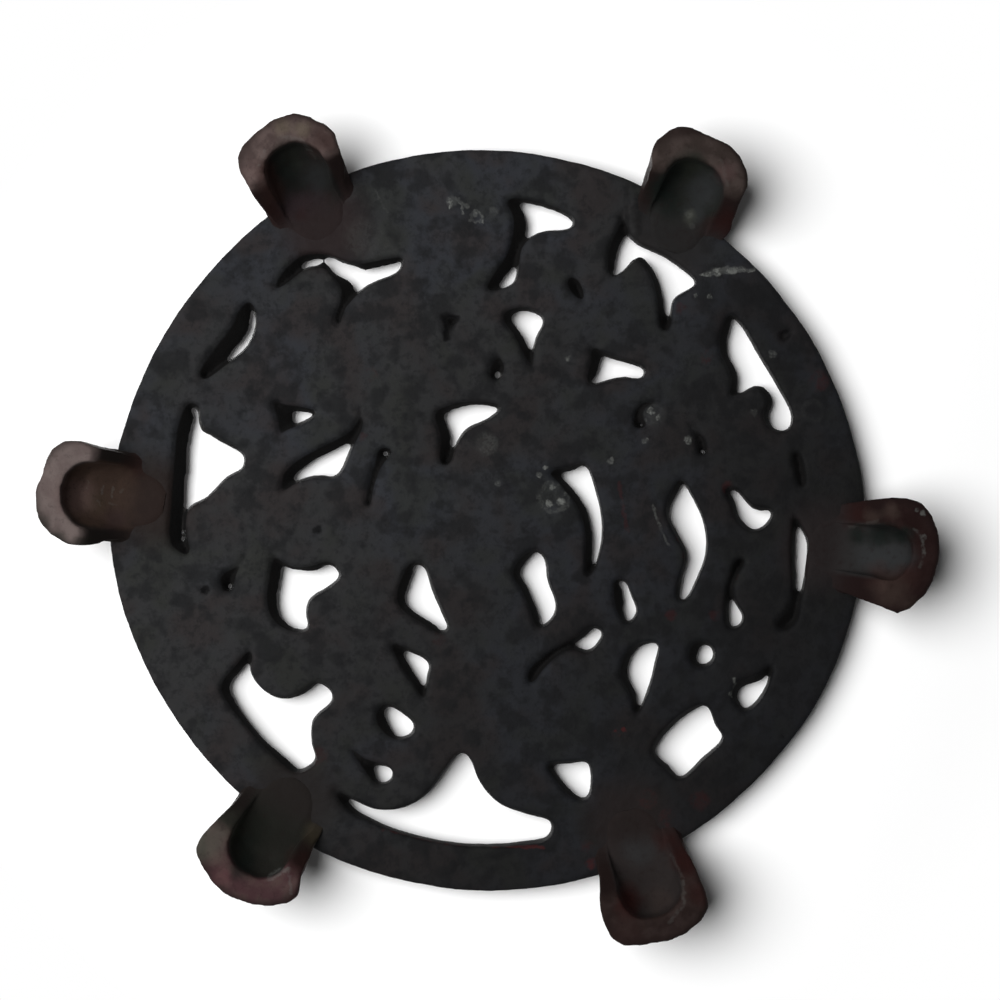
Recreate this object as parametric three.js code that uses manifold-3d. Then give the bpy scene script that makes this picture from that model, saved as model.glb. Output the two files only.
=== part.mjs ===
// A round openwork trivet of cast iron: one pierced plate on six separately cast, hollowed feet.
// Each foot's round tenon goes up through the plate's rim and is hammered over above it.
// Millimetres, +Z up, standing on its feet. The origin is on the floor under the middle of the whole trivet.
// Outlines are written as seen from below, u to the right and v up the view, so X = -u and Y = v.

import * as THREE from 'three';
import { mergeVertices } from 'three/addons/utils/BufferGeometryUtils.js';
import Module from 'manifold-3d';

const manifold = await Module();
manifold.setup();

// Plate
const plateRadius = 93;
const narrowestRim = 7.25;
const webThickness = 4.5;
const reliefHeight = 1.5;
const beadWidth = 3.2;
const beadEdgeDistance = 3.2;
const reliefBevel = 0.9;
const reliefSink = 0.6;
// How far the cast edge strays from the plate's radius, every 30 degrees anticlockwise from the right.
const edgeWander = [1.1, -1, -1.25, -0.75, 0.4, -0.25, 1.1, -1, -0.6, -0.75, 0.25, 1];
const edgeStepsPerWander = 8;

// Feet
const footHeight = 14;
const seatGap = 0.3;
const rootInnerDepth = 6.5;
const rootWidth = 23;
const rootInnerWidth = 16.5;
const rootRounding = 4;
const flangeThickness = 1.4;
const toeDepth = 13.5;
const toeRounding = 9.5;
const toePinch = 0.5;
const toeWall = 6.5;
const hollowTaper = 2;
const hollowRootDepth = 1.5;
const soleChamfer = 0.9;
const squareness = 0.9;
const sideBow = 1.3;
const legBow = 2.5;
const hollowBow = 4;
const legLevels = 5;
const roundSteps = 8;
const sideSteps = 2;

// Tenons
const tenonEdgeDistance = 6;
const tenonRadius = 3.2;
const tenonClearance = 0.4;
const tenonSink = 1;
const headRadius = 4.8;
const headCrownRadius = 2.6;
const headGap = 0.3;
const headEdge = 0.4;
const headSeatClearance = 0.5;

// One row for each foot: where it sits round the rim and how it turns on its tenon, in degrees as seen
// from below, how far its toe stands out past the plate's edge, and how wide the toe and its hollow are.
const feet = {
  foot_right: { bearing: 355.5, turn: -1.5, reach: 17.9, toeWidth: 28.2, hollowWidth: 13.2 },
  foot_upper_right: { bearing: 57, turn: 14, reach: 16.3, toeWidth: 26.3, hollowWidth: 16 },
  foot_upper_left: { bearing: 119.2, turn: -5, reach: 17.7, toeWidth: 25.2, hollowWidth: 15.4 },
  foot_left: { bearing: 176.8, turn: -6, reach: 17.8, toeWidth: 25, hollowWidth: 16.2 },
  foot_lower_left: { bearing: 234.8, turn: 5, reach: 18.3, toeWidth: 27, hollowWidth: 16 },
  foot_lower_right: { bearing: 295, turn: -8.5, reach: 19.6, toeWidth: 26.5, hollowWidth: 15.8 },
};

// The openings through the plate, each a smooth closed curve through the points [u, v] round its edge.
const openings = {
  topHook: [[3.75, 80], [7.25, 80.75], [16.75, 78.5], [22, 75], [21, 72.5], [13.25, 71.5], [9, 68.5],
    [8, 63.25], [7, 59], [3.25, 57.25], [-1.25, 57.25], [1, 61.75], [4.75, 67.75], [5.75, 75.25]],
  upperLeftFork: [[-54.5, 57.75], [-48.5, 65.5], [-41.25, 66.75], [-34.25, 64], [-26.75, 65.25],
    [-20.75, 65.75], [-21.75, 61.75], [-29.75, 58.25], [-35, 53.25], [-37.25, 47.5], [-39.25, 49.5],
    [-37, 56.75], [-40.5, 62.25], [-45.5, 62.25], [-49.25, 59.5], [-53, 57]],
  leftSlot: [[-60, 55], [-63.5, 52], [-65.75, 47.75], [-69.5, 43], [-73, 36.25], [-71.5, 34.5],
    [-66.5, 37.5], [-60, 42.5], [-57.5, 48.5], [-58.25, 53.5]],
  smallTee: [[-11.5, 51.25], [-9, 50.75], [-6.5, 50], [-8.5, 48], [-9.25, 44.5], [-10.75, 44.5],
    [-10.75, 48]],
  smallOval: [[2.5, 41.5], [4.5, 38.5], [3.25, 34.5], [0, 35], [-0.25, 38.25]],
  teardrop: [[3, 51.5], [8, 53.25], [13, 52], [14.5, 49.75], [12.5, 45.25], [11.75, 40.75], [12.5, 36.25],
    [9.25, 39.75], [6, 46.25], [3.5, 49.25]],
  shortSlash: [[20, 61], [22.75, 60], [24.5, 54.25], [21.5, 55.5], [19.25, 59]],
  upperRightFork: [[34.5, 78.5], [35.75, 71], [44.25, 66.25], [52.75, 59.25], [50.5, 57.25],
    [46.5, 54.75], [45.75, 47.75], [43.25, 47], [42.25, 54.75], [40.5, 61], [37.25, 64.75],
    [34.5, 62.25], [30.5, 60.25], [29.5, 66.5], [32.5, 74.25]],
  flatWedge: [[25.5, 44], [28.75, 42], [35.75, 39.75], [39.5, 37.75], [38.75, 35], [32.75, 35],
    [25.25, 33.25], [24.25, 35.25], [25.5, 40.25]],
  rightLong: [[60.5, 51.75], [63.25, 49.75], [67.75, 42.25], [73.25, 32.75], [76.5, 25.5], [75.25, 22],
    [70.75, 22.25], [68.5, 26.25], [69.75, 29.75], [67, 32.75], [63.25, 31], [60, 30.5], [60.75, 35.25],
    [57.75, 41.75], [58, 47.25]],
  leftBay: [[-75.25, 29.25], [-71.75, 28.5], [-71, 23.75], [-66.5, 20.25], [-60.75, 16.75],
    [-60.75, 12.75], [-65.25, 10], [-70.25, 5], [-74.5, 2.75], [-75.25, -2.25], [-74, -9],
    [-76.75, -9.25], [-80.25, -6], [-79.75, 4.75], [-79, 19.75], [-77.5, 26.25]],
  leftSpur: [[-54.25, 30.5], [-50.75, 29], [-46, 28.5], [-42, 26.75], [-45.75, 23.5], [-50, 22],
    [-52, 19.75], [-53.5, 23.75]],
  risingLeafGap: [[-52, 5.5], [-52, 11], [-48, 15.25], [-39.25, 19.75], [-34, 23], [-31.5, 28.75],
    [-30.75, 23.75], [-33.75, 17.75], [-37.5, 10.25], [-44, 10], [-48.75, 8.25]],
  leftCranny: [[-59.75, -7], [-62.5, -10.75], [-67.75, -14.25], [-66.5, -18.25], [-63.75, -18.25],
    [-62.75, -14.25], [-59.75, -9.75]],
  leftBoot: [[-53.75, -8.5], [-50.5, -11], [-46.25, -12], [-39.25, -10.5], [-36.25, -14],
    [-39.25, -17.25], [-44, -20.25], [-45, -23.25], [-44.5, -27.75], [-49.25, -28.25],
    [-54.25, -25.5], [-56, -20.75], [-55.25, -14.25]],
  curledGap: [[-14, 26.5], [-9.25, 29], [-1.75, 29.75], [4, 28.25], [0.5, 24.75], [-5.25, 22],
    [-7.75, 17.75], [-9.5, 13.25], [-12.5, 14], [-12.25, 20.75]],
  leaningSlot: [[-27.75, 17.75], [-23.25, 17.5], [-26.25, 13], [-28, 7.5], [-29.5, 2], [-31.25, 3.25],
    [-30.75, 8.25], [-29, 13.75]],
  crescent: [[14.75, 11.75], [19.75, 13.25], [24.5, 14.25], [27, 8.5], [29, -0.25], [28.5, -7.5],
    [25.75, -14.75], [24.25, -13.25], [24.25, -5.25], [22.25, 2.75], [17.75, 8.75]],
  rightEye: [[36, 25.25], [38.25, 29.5], [42.5, 29.25], [43.75, 26.25], [39.75, 23], [36.75, 22.5]],
  rightTick: [[49.75, 24.75], [54, 20.75], [55, 16.25], [52.5, 15.75], [51.5, 19.5]],
  rightSickle: [[48.25, 10.5], [51.75, 5.25], [54.5, -1.25], [55, -7.75], [52.75, -14.75], [49.25, -21],
    [46.75, -19.75], [48, -14.5], [49.5, -9.25], [47.25, -4.25], [44.5, 1.5], [45.75, 7]],
  rightFin: [[58.5, 7.75], [62, 8], [66.5, 3.25], [71.5, 2.5], [70.25, -1.25], [66.5, -3.25],
    [62.25, -0.5], [60.25, 4.5]],
  rimSliver: [[75.75, 17], [78, 17], [79.25, 13], [79.5, 8.25], [78, 7.75], [76.25, 12.25]],
  rimSlot: [[76.5, 2], [78.75, -1.75], [80.5, -5.75], [79.75, -13.25], [78.5, -20.75], [77.25, -26.25],
    [74, -28.25], [71.25, -26.25], [74, -22.75], [76, -18.25], [75.75, -7.75], [76, -2.25]],
  rightDrop: [[62.5, -9.5], [64.75, -10.25], [62.75, -14], [61.5, -17.75], [62.5, -21.25],
    [64.25, -24.25], [63, -27.25], [60, -27.25], [59.25, -21], [60.5, -14]],
  rightWedge: [[31.75, -14.75], [34.75, -15], [36.5, -19], [37.75, -23.25], [35, -26.5], [31.75, -23.25],
    [30.75, -18.75]],
  middlePod: [[12.25, -7.25], [14.75, -9.75], [15.5, -15.25], [17.5, -21.25], [16.5, -25],
    [12.25, -27.75], [10.5, -23.25], [7.75, -17.25], [5.75, -13.5], [8.25, -9.25]],
  lowerFin: [[-19.75, -10.75], [-15.5, -11], [-13.5, -16.75], [-10.75, -23.25], [-9.25, -27.5],
    [-11.5, -29], [-16.75, -26.25], [-23, -21.25], [-22.25, -15.5]],
  lowerLeftBay: [[-59.5, -32.25], [-64, -37], [-67.5, -41.75], [-65.5, -46], [-59.75, -53.25],
    [-53.5, -60], [-48, -63.75], [-42.5, -60.5], [-43.75, -55.75], [-43.5, -50.25], [-38.5, -45.75],
    [-39, -42.5], [-43, -40.5], [-46.75, -43.25], [-51.5, -44.75], [-56.25, -42.25],
    [-59.25, -37.75], [-58.5, -34]],
  bottomBay: [[-39, -67.5], [-33.75, -69.5], [-27.75, -72.5], [-20.5, -72], [-15, -68.5],
    [-10.75, -62.75], [-6.75, -58.25], [-4.25, -59.5], [-1.75, -65.75], [3.25, -71.25],
    [10.25, -73.25], [16.5, -75.5], [15.5, -80.25], [8.25, -81.75], [-4.25, -81.75], [-16.75, -80],
    [-28, -76.5], [-35.5, -73]],
  lowerSpur: [[-25.25, -29.75], [-21.75, -31.5], [-14, -35.5], [-14.75, -40.25], [-15.5, -46.25],
    [-19, -41.5], [-23, -35.25]],
  lowerPod: [[-28.75, -49.25], [-26.75, -46.25], [-23.5, -46], [-18, -50.75], [-18.5, -54],
    [-23, -55.5], [-27.5, -53]],
  lowerTick: [[-35, -55.75], [-30.5, -59.75], [-23.75, -62.5], [-24, -65.5], [-27.75, -66.5],
    [-31.5, -62.75], [-34.25, -59]],
  longSlash: [[10, -41.5], [9.75, -37.25], [15.75, -33], [22, -29.5], [26.25, -26.5], [29.25, -28.25],
    [25.5, -33.5], [20.25, -32.75], [14.75, -37], [11.5, -41.25]],
  bottomWedge: [[14.5, -61.25], [20.25, -60.5], [25.25, -60.5], [26.25, -65.25], [25.25, -70.25],
    [22.25, -70.5], [16.25, -65]],
  lowerRightFin: [[38.25, -30.75], [43, -31], [42.25, -35.5], [40.5, -42.75], [37.25, -49.75],
    [35.5, -44.5], [32.75, -39], [34, -34]],
  rightWindow: [[71.75, -36.25], [70.5, -41.5], [67.25, -46.75], [64, -48.5], [60.75, -44.5],
    [62, -40.75], [66.75, -39]],
  lowerRightWindow: [[54.75, -46.25], [57.25, -51.5], [59.25, -54.75], [54, -60.5], [48, -65.5],
    [44.25, -62.25], [40.75, -58.75], [42.75, -54.25], [49.25, -48.25]],
};
const openingStepsPerPoint = 3;

// Round holes through the plate, and a dimple in its underside: centre [u, v] and radius.
const roundHoles = {
  lowerRightEye: { centre: [53.25, -33.75], radius: 4 },
  leftPinhole: { centre: [-70.5, -18], radius: 1.1 },
};
const dimple = { centre: [-42, -3], radius: 1.25 };
const dimpleDepth = 1;
const holeSteps = 16;
// How far a cut runs on past the faces that it opens.
const cutOverrun = 1;

// Raised leaves on the top face: base and tip [u, v], and width.
const leaves = {
  topLeaf: { base: [-11.75, 81], tip: [-12.5, 55], width: 15 },
  upperLeftLeaf: { base: [-56, 33.5], tip: [-46.5, 57], width: 11 },
  heartLeaf: { base: [-38, 35], tip: [-17.5, 58], width: 15 },
  leaningLeaf: { base: [-21.75, 20], tip: [-21.75, 43.5], width: 12 },
  middleLeftLeaf: { base: [-21.5, -5], tip: [-46, 2.5], width: 10 },
  lowerMiddleLeaf: { base: [-29.5, -10], tip: [-30.5, -40], width: 11 },
  leftLeaf: { base: [-71.5, -5.5], tip: [-54.5, 9.5], width: 10 },
  lowerLeftLeaf: { base: [-35.5, -42.75], tip: [-39, -61], width: 8 },
  lobeLeaf: { base: [-11.5, -50], tip: [-24, -69], width: 9 },
  broadLeaf: { base: [2, -57], tip: [-4, -13], width: 18 },
  lowerLeaf: { base: [7.5, -69.5], tip: [17.5, -41], width: 14 },
  lowerRightLeaf: { base: [32, -74], tip: [29.5, -37], width: 11 },
  rimLeaf: { base: [69.5, -26.5], tip: [69, -5.5], width: 8.5 },
  rightLeaf: { base: [29, 18.5], tip: [50, 14.5], width: 9 },
  innerRightLeaf: { base: [31, 22], tip: [12, 33], width: 11 },
  upperRightLeaf: { base: [38.5, 43], tip: [26, 59], width: 12 },
  topRightLeaf: { base: [11.5, 57.5], tip: [27.5, 73], width: 11 },
  sideLeaf: { base: [53.5, 26], tip: [53, 50], width: 10 },
  smallRightLeaf: { base: [62.5, 11.5], tip: [64.5, 27.5], width: 8 },
};
const leafPointsPerSide = 4;
const leafBelly = 0.8;

// Raised blossoms on the top face: centre [u, v] and radius.
const blossoms = {
  middleBlossom: { centre: [-2, 1.5], radius: 11 },
  lobeBlossom: { centre: [-50, -34.5], radius: 7.5 },
  rightBlossom: { centre: [37, -4.5], radius: 8 },
  lowerRightBlossom: { centre: [66.5, -31.5], radius: 5 },
  upperBlossom: { centre: [-8, 37], radius: 6 },
  smallBlossom: { centre: [18.5, 43.5], radius: 4.5 },
};
const petals = 5;
const stepsPerPetal = 4;
const petalNotch = 0.16;

// The openwork is drawn about the plate's centre, and fitted so that its furthest point meets the rim.
const openingPoints = Object.values(openings).flat();
const drawnReach = Math.max(...openingPoints.map(([u, v]) => Math.hypot(u, v)));
const drawingScale = (plateRadius - narrowestRim) / drawnReach;

// Points of one loop that are closer than this are one point.
const weldDistance = 1e-5;

const plateBottom = footHeight + seatGap;
const webTop = plateBottom + webThickness;
const reliefTop = webTop + reliefHeight;
const tenonCircleRadius = plateRadius - tenonEdgeDistance;

const iron = new THREE.MeshStandardMaterial({ color: 0x2a2a2b, roughness: 0.68, metalness: 0.35 });
const brownedIron = new THREE.MeshStandardMaterial({ color: 0x3a2f2c, roughness: 0.74, metalness: 0.25 });

const { lerp } = THREE.MathUtils;

function onPlate(u, v) {
  return new THREE.Vector2(-u * drawingScale, v * drawingScale);
}

function atBearing(degrees, radius) {
  const angle = THREE.MathUtils.degToRad(180 - degrees);
  return new THREE.Vector2(radius * Math.cos(angle), radius * Math.sin(angle));
}

function smoothLoop(points, stepsPerPoint) {
  const knots = points.map((point) => new THREE.Vector3(point.x, point.y, 0));
  const curve = new THREE.CatmullRomCurve3(knots, true, 'centripetal');
  const loop = curve.getPoints(points.length * stepsPerPoint);
  loop.pop();
  return loop.map((point) => new THREE.Vector2(point.x, point.y));
}

function circleLoop(centre, radius, steps) {
  return new THREE.EllipseCurve(centre.x, centre.y, radius, radius).getPoints(steps).slice(0, steps);
}

function prism(loop, bottom, top) {
  const geometry = new THREE.ExtrudeGeometry(new THREE.Shape(loop), {
    depth: top - bottom,
    bevelEnabled: false,
  });
  geometry.translate(0, 0, bottom);
  return geometry;
}

function toSolid(geometry) {
  const bare = geometry.clone();
  bare.deleteAttribute('normal');
  bare.deleteAttribute('uv');
  const merged = mergeVertices(bare, weldDistance);
  return new manifold.Manifold(new manifold.Mesh({
    numProp: 3,
    vertProperties: new Float32Array(merged.attributes.position.array),
    triVerts: new Uint32Array(merged.index.array),
  }));
}

function toGeometry(solid) {
  const mesh = solid.getMesh();
  const geometry = new THREE.BufferGeometry();
  geometry.setAttribute('position', new THREE.BufferAttribute(mesh.vertProperties, 3));
  geometry.setIndex(new THREE.BufferAttribute(mesh.triVerts, 1));
  geometry.computeVertexNormals();
  return geometry;
}

function joinAll(solids) {
  return solids.reduce((whole, solid) => whole.add(solid));
}

function plateDisc() {
  const degreesApart = 360 / edgeWander.length;
  const edge = edgeWander.map((stray, index) => atBearing(index * degreesApart, plateRadius + stray));
  return toSolid(prism(smoothLoop(edge, edgeStepsPerWander), plateBottom, webTop));
}

// The raised bead that runs round the top face just inside the edge.
function rimBead() {
  const middle = plateRadius - beadEdgeDistance;
  const foot = beadWidth / 2;
  const crest = foot - reliefBevel;
  const profile = [
    [middle - foot, webTop - reliefSink],
    [middle + foot, webTop - reliefSink],
    [middle + foot, webTop],
    [middle + crest, reliefTop],
    [middle - crest, reliefTop],
    [middle - foot, webTop],
    [middle - foot, webTop - reliefSink],
  ].map(([radius, height]) => new THREE.Vector2(radius, height));
  const ring = new THREE.LatheGeometry(profile, edgeWander.length * edgeStepsPerWander);
  ring.rotateX(Math.PI / 2);
  return toSolid(ring);
}

// A leaf's outline bellies out past its middle and ends in a point.
function leafLoop({ base, tip, width }) {
  const start = onPlate(...base);
  const along = onPlate(...tip).sub(start);
  const across = new THREE.Vector2(-along.y, along.x).normalize().multiplyScalar(width * drawingScale / 2);
  const side = (share, sign) => start.clone()
    .addScaledVector(along, share)
    .addScaledVector(across, sign * Math.sin(Math.PI * share ** leafBelly));
  const gaps = leafPointsPerSide + 1;
  const shares = Array.from({ length: leafPointsPerSide }, (_, index) => (index + 1) / gaps);
  const outline = shares.map((share) => side(share, -1));
  const otherSide = shares.map((share) => side(share, 1)).reverse();
  return [start, ...outline, start.clone().add(along), ...otherSide];
}

// A blossom's outline: round petals with a notch between each and the next.
function blossomLoop({ centre, radius }) {
  const middle = onPlate(...centre);
  const steps = petals * stepsPerPetal;
  return Array.from({ length: steps }, (_, index) => {
    const angle = 2 * Math.PI * index / steps;
    const notch = petalNotch * (1 - Math.abs(Math.sin(angle * petals / 2)));
    const reach = radius * drawingScale * (1 - notch);
    return new THREE.Vector2(middle.x + reach * Math.cos(angle), middle.y + reach * Math.sin(angle));
  });
}

// Raised ornament has sloping sides and a flat top that a pot can stand on.
function raisedPad(loop) {
  const geometry = new THREE.ExtrudeGeometry(new THREE.Shape(loop), {
    depth: reliefSink,
    bevelEnabled: true,
    bevelThickness: reliefHeight,
    bevelSize: reliefBevel,
    bevelOffset: -reliefBevel,
    bevelSegments: 1,
  });
  geometry.translate(0, 0, webTop - reliefSink);
  return toSolid(geometry);
}

function openworkPlate() {
  const raised = [
    rimBead(),
    ...Object.values(leaves).map((leaf) => raisedPad(leafLoop(leaf))),
    ...Object.values(blossoms).map((blossom) => raisedPad(blossomLoop(blossom))),
  ];
  const below = plateBottom - cutOverrun;
  const above = reliefTop + cutOverrun;
  const throughLoop = (loop) => toSolid(prism(loop, below, above));
  const throughHole = (centre, radius) => throughLoop(circleLoop(centre, radius, holeSteps));
  const tenonCentres = Object.values(feet).map(({ bearing }) => atBearing(bearing, tenonCircleRadius));
  const headSeats = tenonCentres.map((centre) => throughHole(centre, headRadius + headSeatClearance));
  const relief = joinAll(raised).subtract(joinAll(headSeats));
  const dimpleLoop = circleLoop(onPlate(...dimple.centre), dimple.radius, holeSteps);
  const cuts = [
    ...Object.values(openings).map((points) => (
      throughLoop(smoothLoop(points.map(([u, v]) => onPlate(u, v)), openingStepsPerPoint)))),
    ...Object.values(roundHoles).map(({ centre, radius }) => throughHole(onPlate(...centre), radius)),
    ...tenonCentres.map((centre) => throughHole(centre, tenonRadius + tenonClearance)),
    toSolid(prism(dimpleLoop, below, plateBottom + dimpleDepth)),
  ];
  return toGeometry(plateDisc().add(relief).subtract(joinAll(cuts)));
}

// One level of a foot, in the foot's own frame: x runs outwards from the tenon, y along the rim.
// The back is round, and the sides draw in towards a flat front.
function footSection({ front, back, frontWidth, width, rounding }) {
  const widest = back - rounding;
  const backArc = Array.from({ length: roundSteps + 1 }, (_, index) => {
    const angle = Math.PI * (index / roundSteps - 0.5);
    const across = Math.sign(angle) * Math.abs(Math.sin(angle)) ** squareness;
    const outwards = Math.max(Math.cos(angle), 0) ** squareness;
    return new THREE.Vector2(widest + rounding * outwards, across * width / 2);
  });
  const side = Array.from({ length: sideSteps }, (_, index) => {
    const share = (index + 1) / sideSteps;
    return new THREE.Vector2(lerp(widest, front, share), lerp(width, frontWidth, share ** sideBow) / 2);
  });
  const otherSide = side.map(({ x, y }) => new THREE.Vector2(x, -y)).reverse();
  return [...otherSide, ...backArc, ...side];
}

// Joins level sections, each with its height, into one closed body.
function loft(levels) {
  const count = levels[0].section.length;
  const vertices = levels.flatMap(({ section, height }) => section.flatMap(({ x, y }) => [x, y, height]));
  const indices = [];
  const top = (levels.length - 1) * count;
  for (let level = 0; level < levels.length - 1; level += 1) {
    for (let side = 0; side < count; side += 1) {
      const a = level * count + side;
      const b = level * count + (side + 1) % count;
      indices.push(a, b, b + count, a, b + count, a + count);
    }
  }
  for (let side = 1; side < count - 1; side += 1) {
    indices.push(0, side + 1, side, top, top + side, top + side + 1);
  }
  const geometry = new THREE.BufferGeometry();
  geometry.setAttribute('position', new THREE.Float32BufferAttribute(vertices, 3));
  geometry.setIndex(indices);
  return toSolid(geometry);
}

// How far up the leg a level lies, as a share. The levels crowd together under the plate.
function levelShare(level) {
  return 1 - (1 - level / legLevels) ** 2;
}

// The leg bows out from under the rim and turns upright towards the floor.
function footBody(toeBack, toeWidth) {
  const section = (share, inset) => footSection({
    front: lerp(toeBack - toeDepth, -rootInnerDepth, share) + inset,
    back: lerp(toeBack, tenonEdgeDistance, share ** legBow) - inset,
    frontWidth: lerp(toeWidth - 2 * toePinch, rootInnerWidth, share) - 2 * inset,
    width: lerp(toeWidth, rootWidth, share) - 2 * inset,
    rounding: lerp(toeRounding, rootRounding, share),
  });
  const levels = [{ section: section(0, soleChamfer), height: 0 }];
  for (let level = 0; level <= legLevels; level += 1) {
    const height = lerp(soleChamfer, footHeight - flangeThickness, levelShare(level));
    levels.push({ section: section(height / (footHeight - flangeThickness), 0), height });
  }
  levels.push({ section: section(1, 0), height: footHeight });
  return loft(levels);
}

// The hollow is open at the sole and towards the trivet's middle. Its floor rises from the toe's steep
// wall and runs out against the plate.
function footHollow(toeBack, hollowWidth) {
  const levels = [];
  for (let level = 0; level <= legLevels; level += 1) {
    const share = levelShare(level);
    const width = lerp(hollowWidth, hollowWidth - hollowTaper, share);
    const section = footSection({
      front: lerp(toeBack - toeDepth, -rootInnerDepth, share) - toeDepth,
      back: lerp(toeBack - toeWall, hollowRootDepth - rootInnerDepth, share ** hollowBow),
      frontWidth: width,
      width,
      rounding: width / 2,
    });
    levels.push({ section, height: lerp(0, footHeight - flangeThickness, share) });
  }
  levels.unshift({ section: levels[0].section, height: -cutOverrun });
  return loft(levels);
}

// The round tenon and the head that it is hammered into above the rim.
function footTenon() {
  const headBottom = webTop + headGap;
  const profile = [
    [0, footHeight - tenonSink],
    [tenonRadius, footHeight - tenonSink],
    [tenonRadius, headBottom],
    [headRadius, headBottom],
    [headRadius, headBottom + headEdge],
    [headCrownRadius, reliefTop],
    [0, reliefTop],
  ].map(([radius, height]) => new THREE.Vector2(radius, height));
  const turned = new THREE.LatheGeometry(profile, holeSteps);
  turned.rotateX(Math.PI / 2);
  return toSolid(turned);
}

function footMesh(name, { bearing, turn, reach, toeWidth, hollowWidth }) {
  const toeBack = tenonEdgeDistance + reach;
  const solid = footBody(toeBack, toeWidth).subtract(footHollow(toeBack, hollowWidth)).add(footTenon());
  const mesh = new THREE.Mesh(toGeometry(solid), brownedIron);
  const seat = atBearing(bearing, tenonCircleRadius);
  mesh.name = name;
  mesh.position.set(seat.x, seat.y, 0);
  mesh.rotation.z = THREE.MathUtils.degToRad(180 - bearing - turn);
  return mesh;
}

const plate = new THREE.Mesh(openworkPlate(), iron);
plate.name = 'openwork_plate';

const aboutPlateCentre = new THREE.Group();
aboutPlateCentre.add(plate, ...Object.entries(feet).map(([name, foot]) => footMesh(name, foot)));

const footprint = new THREE.Box3().setFromObject(aboutPlateCentre, true).getCenter(new THREE.Vector3());
aboutPlateCentre.position.set(-footprint.x, -footprint.y, 0);

const trivet = new THREE.Group();
trivet.add(aboutPlateCentre);

export default trivet;
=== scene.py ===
import math

import bpy
import numpy as np
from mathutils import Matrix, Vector


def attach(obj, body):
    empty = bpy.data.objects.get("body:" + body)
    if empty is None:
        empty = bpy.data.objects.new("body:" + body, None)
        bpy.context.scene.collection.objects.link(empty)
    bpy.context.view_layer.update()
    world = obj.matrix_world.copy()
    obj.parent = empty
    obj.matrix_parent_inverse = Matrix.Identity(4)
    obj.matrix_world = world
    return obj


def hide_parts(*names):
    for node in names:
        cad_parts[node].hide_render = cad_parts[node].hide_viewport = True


# A round openwork trivet of cast iron on six hollow feet, photographed from below.
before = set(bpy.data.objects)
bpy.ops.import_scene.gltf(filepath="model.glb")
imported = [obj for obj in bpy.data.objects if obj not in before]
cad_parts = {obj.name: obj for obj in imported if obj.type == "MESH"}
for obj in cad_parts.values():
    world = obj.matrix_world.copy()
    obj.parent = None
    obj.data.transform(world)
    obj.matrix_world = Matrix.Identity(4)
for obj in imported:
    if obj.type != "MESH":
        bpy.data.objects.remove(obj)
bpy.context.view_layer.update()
bpy.ops.object.select_all(action="DESELECT")

mm = 0.001
plateMiddle = (-0.038, 2.604)  # the plate's centre in the frame, mm
plateBottom = 14.3             # underside of the plate, mm above the floor
webTop = 18.8                  # top face between the ornaments
reliefTop = 20.3               # rim bead, leaves and blossoms


def fromBelow(u, v, height=0):
    # a place as the photograph shows it, u to the right and v up from the plate's centre, in mm
    return Vector(((plateMiddle[0] - u) * mm, (plateMiddle[1] + v) * mm, height * mm))


def atBearing(degrees, radius, height=0):
    # a place at a bearing from the plate's centre, anticlockwise from the photograph's right
    angle = math.radians(degrees)
    return fromBelow(radius * math.cos(angle), radius * math.sin(angle), height)


# Camera, under the trivet and looking up at its underside
view = {
    "aim": (3.25, 4.75),  # what the middle of the picture shows, mm from the plate's centre
    "distance": 590,      # from the underside of the plate, mm
    "lens": 84.96,
    "sensor": 36,
}
bpy.ops.object.camera_add(
    location=fromBelow(*view["aim"], plateBottom - view["distance"]),
    rotation=(0, math.pi, 0),
)
camera = bpy.context.object
camera.name = "photographersCamera"
camera.data.lens = view["lens"]
camera.data.sensor_width = view["sensor"]
bpy.context.scene.camera = camera
bpy.context.scene.view_settings.view_transform = "Standard"
print("camera placed")


def seenAt(u, v, height):
    # the place at this height that the photograph shows over (u, v) of the plate's underside
    aim = view["aim"]
    nearer = 1 - (plateBottom - height) / view["distance"]
    return fromBelow(aim[0] + (u - aim[0]) * nearer, aim[1] + (v - aim[1]) * nearer, height)


# Shader maths
def colour(red, green, blue, whole=1):
    return (red / whole, green / whole, blue / whole, 1)


def operator(operation, swapped=False):
    def act(wire, other):
        pair = (other, wire) if swapped else (wire, other)
        return wire.bench.maths(operation, *pair)
    return act


class Wire:
    # one socket of a node tree, with Python's operators for numbers
    __add__, __radd__ = operator("ADD"), operator("ADD", True)
    __sub__, __rsub__ = operator("SUBTRACT"), operator("SUBTRACT", True)
    __mul__, __rmul__ = operator("MULTIPLY"), operator("MULTIPLY", True)
    __truediv__, __pow__ = operator("DIVIDE"), operator("POWER")

    def __init__(self, bench, socket):
        self.bench = bench
        self.socket = socket

    def __abs__(self):
        return self.bench.maths("ABSOLUTE", self)


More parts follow.
